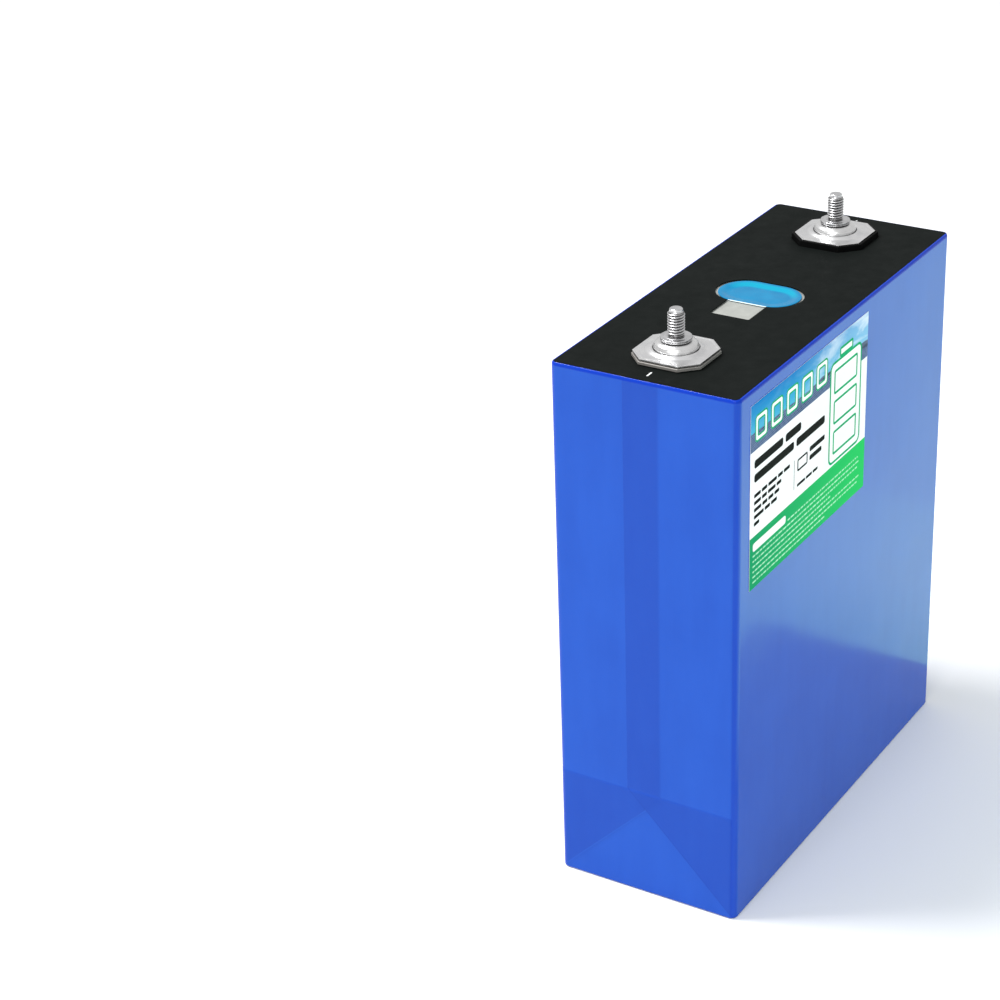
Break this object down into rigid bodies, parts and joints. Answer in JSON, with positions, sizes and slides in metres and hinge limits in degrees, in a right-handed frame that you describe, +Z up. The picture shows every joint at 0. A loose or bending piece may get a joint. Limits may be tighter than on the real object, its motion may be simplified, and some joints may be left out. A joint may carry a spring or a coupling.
{
  "type": "prismatic battery cell",
  "caption": "Upright rectangular lithium iron phosphate cell in blue film, with a black top sheet, an oval pressure vent and a threaded stud on a cut-corner plate at each end.",
  "frame": {"origin": "centre of the underside of the film, on the surface that the cell stands on", "axes": "+Z up, +X along the length from the negative terminal to the positive terminal, +Y through the thickness, away from the label"},
  "size_m": [0.1738, 0.0718, 0.2221],
  "materials": {
    "wrap_film": "semi-gloss blue PET film",
    "label": "printed film label, satin",
    "top_sheet": "matt black, fine texture",
    "vent_film": "glossy cyan-blue film",
    "case_aluminium": "mill finish, satin",
    "terminal_aluminium": "stamped and machined, satin",
    "stud_steel": "bright stainless steel",
    "base_metal": "nickelled copper, satin",
    "rivet_nickel": "nickel-plated copper, satin",
    "copper": "copper, satin",
    "terminal_plastic": "moulded black plastic",
    "seal_rubber": "matt black fluoro rubber",
    "inner_plastic": "moulded white polypropylene",
    "inner_film": "clear insulating film",
    "separator": "white separator film",
    "binding_tape": "green PET tape"
  },
  "bodies": {
    "root": {"wrap_film": "wrap_film", "side_label": "label", "top_insulation_sheet": "top_sheet", "vent_cover_film": "vent_film", "case_can": "case_aluminium", "lid_plate": "case_aluminium", "vent_disc": "case_aluminium", "fill_port_plug": "seal_rubber", "fill_port_cap": "case_aluminium", "terminal_pad_negative": "terminal_plastic", "terminal_base_negative": "base_metal", "terminal_plate_negative": "terminal_aluminium", "terminal_rivet_negative": "rivet_nickel", "terminal_stud_negative": "stud_steel", "seal_ring_negative": "seal_rubber", "terminal_frame_positive": "terminal_plastic", "terminal_plate_positive": "terminal_aluminium", "terminal_rivet_positive": "terminal_aluminium", "terminal_stud_positive": "stud_steel", "seal_ring_positive": "seal_rubber", "lower_insulator_negative": "inner_plastic", "lower_insulator_positive": "inner_plastic", "vent_guard_grille": "inner_plastic", "collector_negative": "copper", "collector_positive": "case_aluminium", "tab_bundle_negative_front": "copper", "tab_bundle_negative_rear": "copper", "tab_bundle_positive_front": "case_aluminium", "tab_bundle_positive_rear": "case_aluminium", "electrode_roll_front": "separator", "electrode_roll_rear": "separator", "binding_tape_lower": "binding_tape", "binding_tape_upper": "binding_tape", "inner_insulation_bag": "inner_film", "bottom_support_board": "inner_plastic"}
  },
  "joints": []
}
